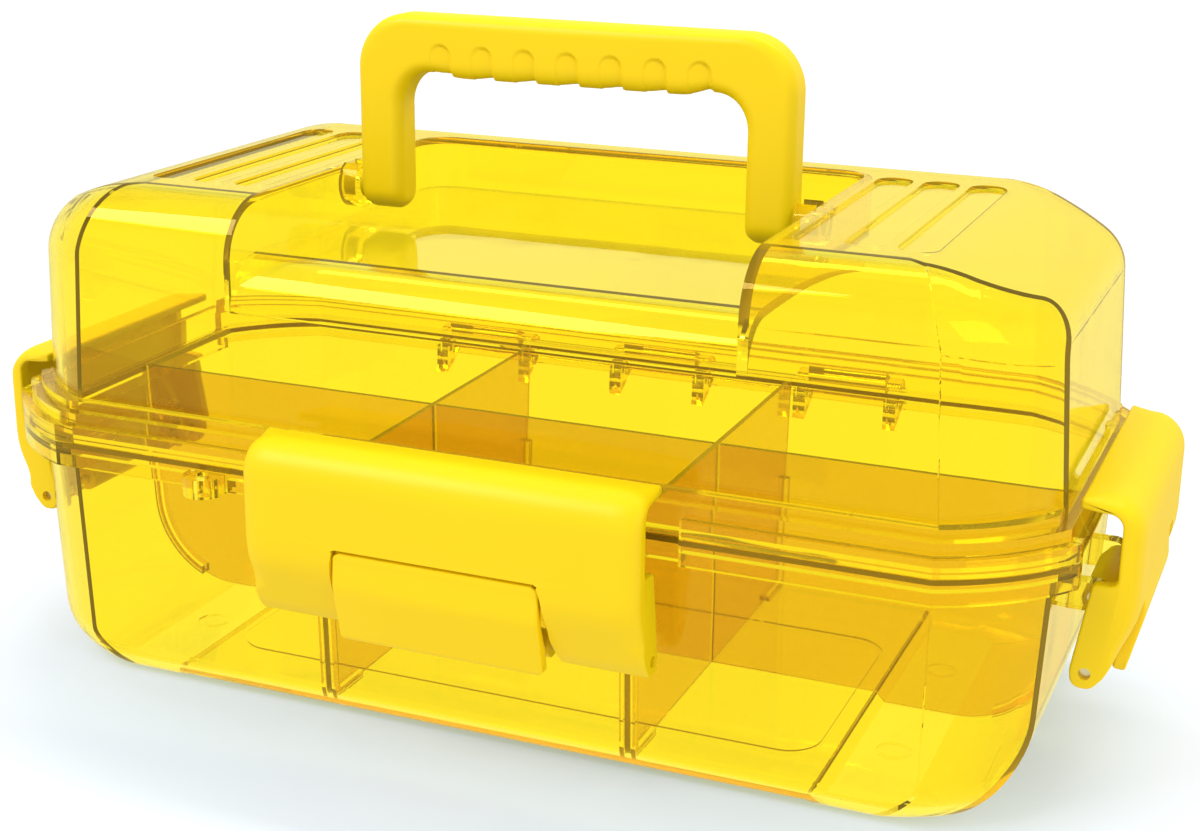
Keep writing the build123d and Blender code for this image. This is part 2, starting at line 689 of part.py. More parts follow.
# ---------------------------------------------------------------- latches
for place, (half_width, lever_half) in latch_places.items():
    section = latch_section(place)

    # Window for the lever: straight sides that flare low down, round top edge about the link pin
    window_half = lever_half + window_gap
    face_plane = Plane(origin=section.origin, x_dir=section.z_dir, z_dir=section.x_dir * -1)
    with BuildPart() as window:
        with BuildSketch(section):
            with Locations((link_out, link_z)):
                Circle(window_radius)
            with Locations((window_in - reach, link_z)):
                Rectangle(2 * reach, 4 * reach, mode=Mode.SUBTRACT)
        extrude(amount=window_half + window_flare, both=True)
        with BuildSketch(face_plane):
            Polygon(
                (-window_half, reach),
                (-window_half, window_flare_z),
                (-window_half - window_flare, link_z + 2 * pin_radius),
                (-window_half - window_flare, -2 * reach),
                (window_half + window_flare, -2 * reach),
                (window_half + window_flare, link_z + 2 * pin_radius),
                (window_half, window_flare_z),
                (window_half, reach),
                align=None,
            )
        extrude(amount=3 * reach, both=True, mode=Mode.INTERSECT)

    with BuildPart() as latch_body:
        # Lip and outer plate
        with BuildSketch(section):
            with BuildLine():
                FilletPolyline(
                    (lip_in, lip_bottom + plate),
                    (latch_out, latch_top),
                    (latch_out, -23.5),
                    (8.6, -43.2),
                    (8.6 - plate, -42.0),
                    (latch_out - plate, -22.8),
                    (latch_out - plate, lip_bottom + 0.4),
                    (lip_in, lip_bottom),
                    radius=[1.2, 12.0, 30.0, 1.0, 1.0, 27.0, 8.0, 1.2],
                    close=True,
                )
            make_face()
        extrude(amount=half_width, both=True)
        add(window.part, mode=Mode.SUBTRACT)
        # Cheeks, open in a C round the rims
        for side in (-1, 1):
            with BuildSketch(section.offset(side * half_width)):
                with BuildLine():
                    FilletPolyline(
                        (lip_in, lip_bottom + plate),
                        (latch_out, latch_top),
                        (latch_out, -23.5),
                        (8.6, -43.2),
                        (4.8, -47.7),
                        (-1.6, -47.5),
                        (-2.3, -41.5),
                        (2.6, -11.4),
                        (10.4, -11.4),
                        (10.4, lip_bottom - 1.0),
                        (2.0, lip_bottom - 0.6),
                        (lip_in, lip_bottom),
                        radius=[1.2, 12.0, 30.0, 10.0, 4.0, 3.6, 8.0, 1.6, 2.6, 4.5, 6.0, 1.2],
                        close=True,
                    )
                make_face()
                with Locations((link_out, link_z)):
                    Circle(pin_radius, mode=Mode.SUBTRACT)
            extrude(amount=-side * cheek)
        # Webs beside the window carry the link pin near the lever
        for side in (-1, 1):
            with BuildSketch(section.offset(side * (lever_half + web_out + web / 2))):
                with BuildLine():
                    FilletPolyline(
                        (link_out - barrel_radius, link_z),
                        (link_out - barrel_radius + 1, link_z - barrel_radius),
                        (8.2, -42.2),
                        (latch_out - plate / 2, -22.5),
                        (latch_out - plate / 2, -9.5),
                        radius=[3.0, 0, 0],
                        close=False,
                    )
                    Line((latch_out - plate / 2, -9.5), (link_out - barrel_radius, link_z))
                make_face()
                with Locations((link_out, link_z)):
                    Circle(pin_radius, mode=Mode.SUBTRACT)
            extrude(amount=web / 2, both=True)
    write(latch_body, f"{place}_latch_body")

    with BuildPart() as latch_lever:
        # Pull tab, flush with the plate at its top and proud of it lower down
        with BuildSketch(section):
            with BuildLine():
                FilletPolyline(
                    (latch_out - 0.3, -10.5),
                    (16.8, -21.0),
                    (17.4, -29.5),
                    (12.4, -50.3),
                    (9.2, -49.5),
                    (14.0, -29.5),
                    (13.6, -21.0),
                    (latch_out - 0.3 - plate, -10.5),
                    radius=[0, 14.0, 12.0, 1.4, 1.4, 10.0, 16.0, 0],
                    close=True,
                )
            make_face()
            # Ribs' root from the tab to the link barrel
            Polygon(
                (link_out, link_z + barrel_radius),
                (14.4, -33.0),
                (12.6, -41.5),
                (link_out, link_z - barrel_radius),
                align=None,
            )
            with Locations((link_out, link_z)):
                Circle(barrel_radius)
        extrude(amount=lever_half, both=True)
        with BuildSketch(section):
            with Locations((pivot_out, pivot_z)):
                Circle(barrel_radius)
            Polygon(
                (pivot_out - barrel_radius, pivot_z),
                (link_out - barrel_radius, link_z),
                (link_out + barrel_radius, link_z),
                (14.4, -33.5),
                (14.4, -27.0),
                (pivot_out, pivot_z + barrel_radius),
                align=None,
            )
        extrude(amount=lug_in - fit_gap, both=True)
        with BuildSketch(section):
            with Locations((link_out, link_z)):
                Circle(window_radius - window_gap)
        extrude(amount=lever_half, both=True, mode=Mode.INTERSECT)
        with BuildSketch(section):
            with Locations((link_out, link_z), (pivot_out, pivot_z)):
                Circle(pin_radius + running_gap)
        extrude(amount=lever_half, both=True, mode=Mode.SUBTRACT)
    write(latch_lever, f"{place}_latch_lever")

    with BuildPart() as pivot_pin:
        with BuildSketch(section):
            with Locations((pivot_out, pivot_z)):
                Circle(pin_radius)
        extrude(amount=lug_in + lug_width, both=True)
    write(pivot_pin, f"{place}_latch_pivot_pin")

    with BuildPart() as link_pin:
        with BuildSketch(section):
            with Locations((link_out, link_z)):
                Circle(pin_radius)
        extrude(amount=half_width - pin_recess, both=True)
    write(link_pin, f"{place}_latch_link_pin")
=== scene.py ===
import json
import math

import bmesh
import bpy
from mathutils import Matrix, Vector


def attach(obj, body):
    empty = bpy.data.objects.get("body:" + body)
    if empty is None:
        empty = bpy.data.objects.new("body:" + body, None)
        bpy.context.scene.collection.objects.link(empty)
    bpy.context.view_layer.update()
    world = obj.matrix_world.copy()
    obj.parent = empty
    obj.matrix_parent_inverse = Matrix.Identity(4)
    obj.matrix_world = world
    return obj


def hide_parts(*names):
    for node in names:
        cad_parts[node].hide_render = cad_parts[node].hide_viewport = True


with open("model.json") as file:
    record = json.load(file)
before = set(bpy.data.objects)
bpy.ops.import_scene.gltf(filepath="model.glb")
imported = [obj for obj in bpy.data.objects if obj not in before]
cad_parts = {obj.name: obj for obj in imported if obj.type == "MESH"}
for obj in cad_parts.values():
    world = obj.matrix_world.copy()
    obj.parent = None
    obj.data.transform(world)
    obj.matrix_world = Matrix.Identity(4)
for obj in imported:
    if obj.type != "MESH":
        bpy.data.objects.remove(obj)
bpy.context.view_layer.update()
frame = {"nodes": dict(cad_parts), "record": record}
nodes = frame["nodes"]
scene = bpy.context.scene
mm = 0.001


def linear(hexColour, alpha=1.0):
    # sRGB hex to the linear values that shaders take
    channels = [int(hexColour[i : i + 2], 16) / 255 for i in (1, 3, 5)]
    curve = [c / 12.92 if c <= 0.04045 else ((c + 0.055) / 1.055) ** 2.4 for c in channels]
    return (*curve, alpha)


def addNode(tree, kind, links=None, props=None, **inputs):
    # One shader node: props are its own settings, inputs its socket values, links its incoming sockets
    node = tree.nodes.new(kind)
    for name, value in (props or {}).items():
        setattr(node, name, value)
    for name, value in inputs.items():
        node.inputs[name.replace("_", " ")].default_value = value
    for name, socket in (links or {}).items():
        tree.links.new(socket, node.inputs[name])
    return node


def newMaterial(name):
    material = bpy.data.materials.new(name)
    material.use_nodes = True
    material.node_tree.nodes.clear()
    return material, material.node_tree


def aimAt(obj, target):
    obj.rotation_euler = (Vector(target) - obj.location).to_track_quat("-Z", "Y").to_euler()


cameraView = {
    "target": (8.8, 8.8, 95.1),  # mm
    "azimuth": 22.32,
    "elevation": 17.75,
    "distance": 739.6,
    "roll": 0.66,
    "lens": 59.14,
    "sensor": 36.0,
}


def placeCamera(view):
    azimuth, elevation, roll = (math.radians(view[k]) for k in ("azimuth", "elevation", "roll"))
    back = Vector((
        math.sin(azimuth) * math.cos(elevation),
        -math.cos(azimuth) * math.cos(elevation),
        math.sin(elevation),
    ))
    right = Vector((math.cos(azimuth), math.sin(azimuth), 0))
    up = back.cross(right)
    rolledRight = right * math.cos(roll) + up * math.sin(roll)
    rolledUp = up * math.cos(roll) - right * math.sin(roll)
    place = (Vector(view["target"]) + back * view["distance"]) * mm
    camera = bpy.data.objects.new("studioCamera", bpy.data.cameras.new("studioCamera"))
    camera.data.sensor_width = view["sensor"]
    camera.data.lens = view["lens"]
    camera.data.clip_start = 0.02
    camera.matrix_world = Matrix.Translation(place) @ Matrix((rolledRight, rolledUp, back)).transposed().to_4x4()
    scene.collection.objects.link(camera)
    scene.camera = camera


placeCamera(cameraView)
print("camera placed")

studio = {
    "floorSize": 14.0,  # m
    "floorColour": "#DFEEFF",
    "floorGlow": (0.18, 1.0),  # share that is plain white to the eye, by the object and far off
    "mirroredFloor": 0.95,  # how bright polished faces mirror the floor
    "bounce": 0.98,  # light that the floor sends back up
    "bounceTint": "#FFFAF0",
    "roomTint": "#FFF2B8",  # warm surroundings, as polished faces mirror them
    "glowReach": (0.13, 0.36),  # m from the object
    "worldLevel": 0.68,
    "skyTint": "#EEF5FC",  # cool skylight, which the shadows keep
    "lampTint": "#FFF1E4",  # warm softboxes, so that the lit sides are neutral
    "horizonGrey": 0.95,  # what polished surfaces mirror around the object
    "ceilingGrey": 0.45,  # what polished surfaces mirror overhead, between the softboxes
}
softboxes = {
    # name: (place m, size m, power W, mirrored in polished faces)
    "keyBox": ((-0.9, -1.0, 1.5), (1.0, 0.7), 18.5, True),
    "fillBox": ((1.5, -0.7, 0.9), (0.8, 0.8), 8.5, False),
    "topStrip": ((0.0, 0.55, 1.3), (1.6, 0.25), 13.0, False),
}


def eyeRays(tree):
    # 1 for rays from the eye, straight or through clear plastic
    path = addNode(tree, "ShaderNodeLightPath")
    eye = addNode(tree, "ShaderNodeMath", {0: path.outputs["Is Camera Ray"], 1: path.outputs["Is Transmission Ray"]},
                  {"operation": "MAXIMUM"})
    return path, eye.outputs[0]


def makeWorld():
    world = bpy.data.worlds.new("studioWorld")
    world.use_nodes = True
    tree = world.node_tree
    tree.nodes.clear()
    path, eye = eyeRays(tree)
    coordinates = addNode(tree, "ShaderNodeTexCoord")
    split = addNode(tree, "ShaderNodeSeparateXYZ", {0: coordinates.outputs["Generated"]})
    # Polished faces mirror a warm room, greyer overhead
    room = addNode(tree, "ShaderNodeMapRange", {"Value": split.outputs["Z"]}, {"interpolation_type": "SMOOTHSTEP"},
                   From_Min=0.30, From_Max=0.62, To_Min=studio["horizonGrey"], To_Max=studio["ceilingGrey"])
    mirrored = addNode(tree, "ShaderNodeBackground", {"Strength": room.outputs[0]}, Color=linear(studio["roomTint"]))
    sky = addNode(tree, "ShaderNodeBackground", Color=linear(studio["skyTint"]), Strength=studio["worldLevel"])
    white = addNode(tree, "ShaderNodeBackground", Color=(1, 1, 1, 1), Strength=1.0)
    mix = addNode(tree, "ShaderNodeMixShader",
                  {0: path.outputs["Is Glossy Ray"], 1: sky.outputs[0], 2: mirrored.outputs[0]})
    mix = addNode(tree, "ShaderNodeMixShader", {0: eye, 1: mix.outputs[0], 2: white.outputs[0]})
    addNode(tree, "ShaderNodeOutputWorld", {"Surface": mix.outputs[0]})
    scene.world = world


def makeFloor():
    half = studio["floorSize"] / 2
    mesh = bpy.data.meshes.new("studioFloor")
    mesh.from_pydata([(-half, -half, 0), (half, -half, 0), (half, half, 0), (-half, half, 0)], [], [(0, 1, 2, 3)])
    floor = bpy.data.objects.new("studioFloor", mesh)
    scene.collection.objects.link(floor)
    material, tree = newMaterial("matt white paper")  # plain sweep that takes a soft shadow
    path, eye = eyeRays(tree)
    paper = addNode(tree, "ShaderNodeBsdfDiffuse", Color=linear(studio["floorColour"]))
    glow = addNode(tree, "ShaderNodeEmission", Color=(1, 1, 1, 1), Strength=1.1)
    mirrored = addNode(tree, "ShaderNodeEmission", Color=linear(studio["roomTint"]), Strength=studio["mirroredFloor"])
    bounce = addNode(tree, "ShaderNodeEmission", Color=linear(studio["bounceTint"]), Strength=studio["bounce"])
    coordinates = addNode(tree, "ShaderNodeTexCoord")
    away = addNode(tree, "ShaderNodeVectorMath", {0: coordinates.outputs["Object"]}, {"operation": "LENGTH"})
    (near, wide), (low, high) = studio["glowReach"], studio["floorGlow"]
    fade = addNode(tree, "ShaderNodeMapRange", {"Value": away.outputs["Value"]}, {"interpolation_type": "SMOOTHSTEP"},
                   From_Min=near, From_Max=wide, To_Min=low, To_Max=high)
    whiter = addNode(tree, "ShaderNodeMath", {0: fade.outputs[0], 1: path.outputs["Is Transmission Ray"]},
                     {"operation": "MAXIMUM"})
    share = addNode(tree, "ShaderNodeMath", {0: eye, 1: whiter.outputs[0]}, {"operation": "MULTIPLY"})
    mix = addNode(tree, "ShaderNodeMixShader",
                  {0: path.outputs["Is Glossy Ray"], 1: paper.outputs[0], 2: mirrored.outputs[0]})
    mix = addNode(tree, "ShaderNodeMixShader",
                  {0: path.outputs["Is Diffuse Ray"], 1: mix.outputs[0], 2: bounce.outputs[0]})
    mix = addNode(tree, "ShaderNodeMixShader", {0: share.outputs[0], 1: mix.outputs[0], 2: glow.outputs[0]})
    addNode(tree, "ShaderNodeOutputMaterial", {"Surface": mix.outputs[0]})
    mesh.materials.append(material)


def makeLamps():
    for name, (place, size, power, mirrored) in softboxes.items():
        lamp = bpy.data.lights.new(name, "AREA")
        lamp.shape = "RECTANGLE"
        lamp.size, lamp.size_y = size
        lamp.energy = power
        lamp.color = linear(studio["lampTint"])[:3]
        obj = bpy.data.objects.new(name, lamp)
        obj.location = place
        obj.visible_glossy = mirrored
        aimAt(obj, (0, 0, 0.1))
        scene.collection.objects.link(obj)


makeWorld()
makeFloor()
makeLamps()
scene.view_settings.view_transform = "Standard"
scene.cycles.max_bounces = 48  # light runs far along the inside of a clear wall
scene.cycles.transmission_bounces = 48
scene.cycles.transparent_max_bounces = 24
print("studio built")


def clearPlastic(name, wallTint, depthTint, density, edgeGlow, roughness, waviness):
    # Moulded clear plastic: polished faces, each wall tints what is behind it, long ways through it go amber
    material, tree = newMaterial(name)
    coordinates = addNode(tree, "ShaderNodeTexCoord")
    flow = addNode(tree, "ShaderNodeTexNoise", {"Vector": coordinates.outputs["Object"]},
                   Scale=1 / (45 * mm), Detail=2.0, Roughness=0.4)  # flow waves of about 45 mm
    bump = addNode(tree, "ShaderNodeBump", {"Height": flow.outputs["Fac"]}, Strength=waviness, Distance=0.4 * mm)
    glass = addNode(tree, "ShaderNodeBsdfPrincipled", {"Normal": bump.outputs[0]},
                    Base_Color=linear(wallTint), Roughness=roughness, IOR=1.585, Specular_IOR_Level=0.3,
                    Specular_Tint=linear("#FFE48A"), Transmission_Weight=1.0)
    # Lamps and skylight pass it as through a grey film, so that its shadow stays soft and isn't yellow
    film = addNode(tree, "ShaderNodeBsdfTransparent", Color=(0.76, 0.78, 0.80, 1))
    path = addNode(tree, "ShaderNodeLightPath")
    mix = addNode(tree, "ShaderNodeMixShader",
                  {0: path.outputs["Is Shadow Ray"], 1: glass.outputs[0], 2: film.outputs[0]})
    mix = addNode(tree, "ShaderNodeMixShader",
                  {0: path.outputs["Is Diffuse Ray"], 1: mix.outputs[0], 2: film.outputs[0]})
    depth = addNode(tree, "ShaderNodeVolumeAbsorption", Color=linear(depthTint), Density=density)
    # A painted amber glow inside the plastic stands in for scattered light, so that edges which trap the light go
    # amber brown, not black
    paintedGlow = addNode(tree, "ShaderNodeEmission", Color=(0.95, 0.66, 0.4, 1), Strength=edgeGlow)
    inside = addNode(tree, "ShaderNodeAddShader", {0: depth.outputs[0], 1: paintedGlow.outputs[0]})
    addNode(tree, "ShaderNodeOutputMaterial", {"Surface": mix.outputs[0], "Volume": inside.outputs[0]})
    return material


def yellowPlastic():
    # Opaque yellow ABS, injection moulded in a finely spark-eroded mould: satin, softly mottled
    material, tree = newMaterial("satin yellow moulded ABS")
    coordinates = addNode(tree, "ShaderNodeTexCoord")
    place = coordinates.outputs["Object"]
    cloud = addNode(tree, "ShaderNodeTexNoise", {"Vector": place}, Scale=1 / (60 * mm), Detail=3.0)
    colour = addNode(tree, "ShaderNodeMix", {"Factor": cloud.outputs["Fac"]}, {"data_type": "RGBA"})
    colour.inputs["A"].default_value = linear("#FFD900")
    colour.inputs["B"].default_value = linear("#FFDE03")
    grain = addNode(tree, "ShaderNodeTexNoise", {"Vector": place}, Scale=1 / (0.9 * mm), Detail=2.0)  # mould grain, drawn coarse
    bump = addNode(tree, "ShaderNodeBump", {"Height": grain.outputs["Fac"]}, Strength=0.05, Distance=0.1 * mm)
    rough = addNode(tree, "ShaderNodeMapRange", {"Value": grain.outputs["Fac"]}, To_Min=0.36, To_Max=0.48)
    body = addNode(tree, "ShaderNodeBsdfPrincipled",
                   {"Base Color": colour.outputs["Result"], "Roughness": rough.outputs[0], "Normal": bump.outputs[0]},
                   IOR=1.53, Specular_IOR_Level=0.3)
    addNode(tree, "ShaderNodeOutputMaterial", {"Surface": body.outputs[0]})
    return material


def drawnSteel():
    # Bright stainless steel rod, drawn: fine lines along its length
    material, tree = newMaterial("drawn stainless steel")
    coordinates = addNode(tree, "ShaderNodeTexCoord")
    stretch = addNode(tree, "ShaderNodeMapping", {"Vector": coordinates.outputs["Object"]}, Scale=(0.02, 1, 1))
    lines = addNode(tree, "ShaderNodeTexNoise", {"Vector": stretch.outputs[0]}, Scale=1 / (0.4 * mm), Detail=3.0)
    rough = addNode(tree, "ShaderNodeMapRange", {"Value": lines.outputs["Fac"]}, To_Min=0.16, To_Max=0.32)
    bump = addNode(tree, "ShaderNodeBump", {"Height": lines.outputs["Fac"]}, Strength=0.1, Distance=0.05 * mm)
    metal = addNode(tree, "ShaderNodeBsdfPrincipled", {"Roughness": rough.outputs[0], "Normal": bump.outputs[0]},
                    Base_Color=linear("#D9DADB"), Metallic=1.0)
    addNode(tree, "ShaderNodeOutputMaterial", {"Surface": metal.outputs[0]})
    return material


def siliconeSeal():
    # Extruded silicone cord: translucent amber, soft sheen
    material, tree = newMaterial("amber silicone cord")
    coordinates = addNode(tree, "ShaderNodeTexCoord")
    bloom = addNode(tree, "ShaderNodeTexNoise", {"Vector": coordinates.outputs["Object"]}, Scale=1 / (8 * mm), Detail=3.0)
    colour = addNode(tree, "ShaderNodeMix", {"Factor": bloom.outputs["Fac"]}, {"data_type": "RGBA"})
    colour.inputs["A"].default_value = linear("#9C7420")
    colour.inputs["B"].default_value = linear("#AD832B")
    cord = addNode(tree, "ShaderNodeBsdfPrincipled", {"Base Color": colour.outputs["Result"]},
                   Roughness=0.5, IOR=1.41)
    addNode(tree, "ShaderNodeOutputMaterial", {"Surface": cord.outputs[0]})
    return material


materials = {
    "clear_shell": clearPlastic("polished clear yellow polycarbonate", "#FFF36E", "#F9F500", 120.0, 7.5, 0.02, 0.25),
    "divider": clearPlastic("clear amber polycarbonate sheet", "#E4C652", "#F9F500", 120.0, 7.5, 0.04, 0.1),
    "yellow_plastic": yellowPlastic(),
    "steel": drawnSteel(),
    "seal": siliconeSeal(),
}
print("materials mixed")


def paint(obj, slotName):
    obj.data.materials.clear()
    obj.data.materials.append(materials[slotName])


for part in frame["record"]["subparts"]:
    paint(nodes[part["node"]], part["material_slot"])


def meshObject(name, verts, faces):
    mesh = bpy.data.meshes.new(name)
    mesh.from_pydata([Vector(v) * mm for v in verts], [], faces)
    mesh.validate()
    obj = bpy.data.objects.new(name, mesh)
    scene.collection.objects.link(obj)
    return obj


def tidyMesh(obj, sharpAngle):
    # Doubles merged, faces turned outwards, smooth shading broken at sharp edges
    bm = bmesh.new()
    bm.from_mesh(obj.data)
    bmesh.ops.remove_doubles(bm, verts=bm.verts, dist=0.01 * mm)
    bmesh.ops.recalc_face_normals(bm, faces=bm.faces)
    for face in bm.faces:
        face.smooth = True
    for edge in bm.edges:
        edge.smooth = not (edge.is_manifold and edge.calc_face_angle(0) > math.radians(sharpAngle))
    bm.to_mesh(obj.data)
    bm.free()


def applyModifiers(obj):
    depsgraph = bpy.context.evaluated_depsgraph_get()
    mesh = bpy.data.meshes.new_from_object(obj.evaluated_get(depsgraph))
    obj.modifiers.clear()
    obj.data = mesh


def cut(obj, *tools):
    for tool in tools:
        modifier = obj.modifiers.new("cut", "BOOLEAN")
        modifier.operation = "DIFFERENCE"
        modifier.solver = "EXACT"
        modifier.object = tool
    applyModifiers(obj)
    for tool in tools:
        bpy.data.objects.remove(tool)


def joinAll(name, objects):
    bm = bmesh.new()
    for obj in objects:
        bm.from_mesh(obj.data)
    mesh = bpy.data.meshes.new(name)
    bm.to_mesh(mesh)
    bm.free()
    for obj in objects:
        bpy.data.objects.remove(obj)
    joined = bpy.data.objects.new(name, mesh)
    scene.collection.objects.link(joined)
    return joined


def filletedLoop(corners, arcStep=9.0, runStep=4.0):
    # Closed outline from (x, z, radius) corners: arcs at the corners, points along the runs
    loop = []
    count = len(corners)
    for i, (x, z, radius) in enumerate(corners):
        here = Vector((x, z))
        before = (Vector(corners[i - 1][:2]) - here).normalized()
        after = (Vector(corners[(i + 1) % count][:2]) - here).normalized()
        opening = before.angle(after)
        if radius and opening < math.pi - 0.01:
            reach = radius / math.tan(opening / 2)
            start, end = here + before * reach, here + after * reach
            centre = here + (before + after).normalized() * (radius / math.sin(opening / 2))
            sweep = math.pi - opening
            steps = max(2, round(math.degrees(sweep) / arcStep))
            spokeA, spokeB = start - centre, end - centre
            for k in range(steps + 1):
                t = k / steps
                spoke = (spokeA * math.sin((1 - t) * sweep) + spokeB * math.sin(t * sweep)) / math.sin(sweep)
                loop.append(centre + spoke)
        else:
            loop.append(here)
    filled = []
    for i, point in enumerate(loop):
        filled.append(point)
        step = loop[(i + 1) % len(loop)] - point
        extra = int(step.length / runStep)
        filled += [point + step * k / (extra + 1) for k in range(1, extra + 1)]
    return filled


def outlineNormals(loop):
    # Outward normals of a closed outline, whichever way round it runs
    area = sum(a.x * b.y - b.x * a.y for a, b in zip(loop, loop[1:] + loop[:1]))
    turn = 1 if area > 0 else -1
    normals = []
    for i, point in enumerate(loop):
        along = (loop[(i + 1) % len(loop)] - loop[i - 1]).normalized()
        normals.append(Vector((along.y, -along.x)) * turn)
    return normals


def roundedBar(name, loop, edge, halfWidth, toWorld, steps=6):
    # The outline swept across the width. edge(point) gives how far its ends round in, and along the width
    normals = outlineNormals(loop)
    turns = [k / steps * math.pi / 2 for k in range(steps + 1)]
    rings = []
    for side in (-1, 1):
        for turn in turns if side > 0 else turns[::-1]:
            ring = []
            for point, normal in zip(loop, normals):
                inwards, along = edge(point)
                inset = point - normal * inwards * (1 - math.cos(turn))
                across = halfWidth(point) - along * (1 - math.sin(turn))
                ring.append(toWorld(inset.x, inset.y, side * across))
            rings.append(ring)
    count = len(loop)
    verts = [v for ring in rings for v in ring]
    faces = []
    for r in range(len(rings) - 1):
        for i in range(count):
            j = (i + 1) % count
            faces.append((r * count + i, r * count + j, (r + 1) * count + j, (r + 1) * count + i))
    faces.append(tuple(range(count)))
    faces.append(tuple(range((len(rings) - 1) * count, len(rings) * count)))
    bar = meshObject(name, verts, faces)
    tidyMesh(bar, 40)
    return bar


def prism(name, loop, across, toWorld):
    # Plain closed sweep, across(point) gives its two ends
    count = len(loop)
    ends = [across(point) for point in loop]
    verts = [toWorld(p.x, p.y, e[0]) for p, e in zip(loop, ends)] + [toWorld(p.x, p.y, e[1]) for p, e in zip(loop, ends)]
    faces = [(i, (i + 1) % count, count + (i + 1) % count, count + i) for i in range(count)]
    faces += [tuple(range(count)), tuple(range(count, 2 * count))]
    return meshObject(name, verts, faces)


def smoothStep(low, high, value):
    t = min(max((value - low) / (high - low), 0.0), 1.0)
    return t * t * (3 - 2 * t)


handleSize = {
    "halfWidth": 84.0, "top": 241.0, "leg": 17.5, "grip": 18.6, "depth": 16.0,  # mm
    "outerRadius": 20.0, "innerRadius": 15.0, "edgeRadius": 4.5, "footRadius": 4.5,
    "pivot": (3.0, 176.5), "pinRadius": 5.0, "pinEnd": 91.4,
    "belly": 3.6, "bellyEnds": (68.0, 40.0),  # the grip's underside swells between these, out from the middle
}
fingerSize = {"Count": 7, "Pitch": 16.5, "Width": 8.6, "Top": 231.0, "Depth": 1.15, "Edge": 0.5}  # mm


def sectionPoint(step, steps, halfWide, halfDeep, radius):
    # A point on a rounded rectangle, the steps spread evenly along its edge
    flatWide, flatDeep = 2 * (halfWide - radius), 2 * (halfDeep - radius)
    arc = math.pi / 2 * radius
    way = (2 * (flatWide + flatDeep) + 4 * arc) * step / steps
    corners = ((1, 1), (-1, 1), (-1, -1), (1, -1))
    runs = ((flatDeep, (0, 1)), (flatWide, (-1, 0)), (flatDeep, (0, -1)), (flatWide, (1, 0)))
    starts = ((halfWide, -halfDeep + radius), (halfWide - radius, halfDeep),
              (-halfWide, halfDeep - radius), (-halfWide + radius, -halfDeep))
    for k in range(4):
        length, (dx, dy) = runs[k]
        if way <= length:
            return starts[k][0] + dx * way, starts[k][1] + dy * way
        way -= length
        if way <= arc or k == 3:
            turn = k * math.pi / 2 + way / radius
            centre = corners[k][0] * (halfWide - radius), corners[k][1] * (halfDeep - radius)
            return centre[0] + radius * math.cos(turn), centre[1] + radius * math.sin(turn)
        way -= arc


def handleSide(size):
    # Outer and inner points of the left leg and bend, in the X-Z plane, from the foot to the grip
    halfWidth, top, half = size["halfWidth"], size["top"], size["depth"] / 2
    outerRadius, innerRadius = size["outerRadius"], size["innerRadius"]
    innerX, innerZ, pivotZ = halfWidth - size["leg"], top - size["grip"], size["pivot"][1]
    rings = []
    footSteps, legSteps, bendSteps = 10, 12, 28
    for k in range(footSteps, 0, -1):  # the foot rounds off about the pin
        turn = k / footSteps * math.pi / 2 * 0.98
        drop = half * math.sin(turn)
        low = max(0.0, drop - half + size["footRadius"]) / size["footRadius"]
        trim = size["footRadius"] * (1 - math.sqrt(max(0.0, 1 - low**2)))
        rings.append(((-halfWidth + trim, pivotZ - drop), (-innerX - trim, pivotZ - drop), math.cos(turn)))
    bendStart = innerZ - innerRadius
    for k in range(legSteps + 1):
        z = pivotZ + (bendStart - pivotZ) * k / legSteps
        rings.append(((-halfWidth, z), (-innerX, z), 1.0))
    rise = top - outerRadius - bendStart  # the outer side still climbs here, while the inner one turns
    arc = outerRadius * math.pi / 2
    for k in range(1, bendSteps + 1):
        turn = k / bendSteps * math.pi / 2
        inner = (-innerX + innerRadius * (1 - math.cos(turn)), innerZ - innerRadius * (1 - math.sin(turn)))
        way = (rise + arc) * k / bendSteps - rise
        outerTurn = max(0.0, way) / outerRadius
        outer = (-halfWidth + outerRadius * (1 - math.cos(outerTurn)),
                 top - outerRadius * (1 - math.sin(outerTurn)) + min(0.0, way))
        rings.append((outer, inner, 1.0))
    return rings


def handleRings(size, gripSteps=260):
    side = handleSide(size)
    (outerX, top), (innerX, gripZ), _ = side[-1]
    grip = []
    for k in range(1, gripSteps):
        share = 1 - 2 * k / gripSteps
        grip.append(((outerX * share, top), (innerX * share, gripZ), 1.0))
    return side + grip + [((-outer[0], outer[1]), (-inner[0], inner[1]), deep) for outer, inner, deep in side[::-1]]


def makeBail(size, around=96):
    half, (pivotY, pivotZ) = size["depth"] / 2, size["pivot"]
    bellyEnd, bellyStart = size["bellyEnds"]
    verts, faces = [], []
    rings = handleRings(size)
    for outer, inner, deep in rings:
        outer, inner = Vector(outer), Vector(inner)
        centre, wide = (outer + inner) / 2, (outer - inner).length / 2
        across = (outer - inner).normalized()
        halfDeep = max(half * deep, 0.5)
        radius = 0.98 * min(size["edgeRadius"] / 0.98, halfDeep, wide)
        for step in range(around):
            a, b = sectionPoint(step, around, wide, halfDeep, radius)
            x, z = centre + across * a
            if z > pivotZ + size["depth"]:
                swell = 1 - smoothStep(bellyStart, bellyEnd, abs(x))
                z -= size["belly"] * swell * smoothStep(wide * 0.2, wide, -a)
            verts.append((x, pivotY + b, z))
    for r in range(len(rings) - 1):
        for i in range(around):
            j = (i + 1) % around
            faces.append((r * around + i, r * around + j, (r + 1) * around + j, (r + 1) * around + i))
    faces.append(tuple(range(around)))
    faces.append(tuple(range((len(rings) - 1) * around, len(rings) * around)))
    bail = meshObject("handleBail", verts, faces)
    tidyMesh(bail, 50)
    return bail


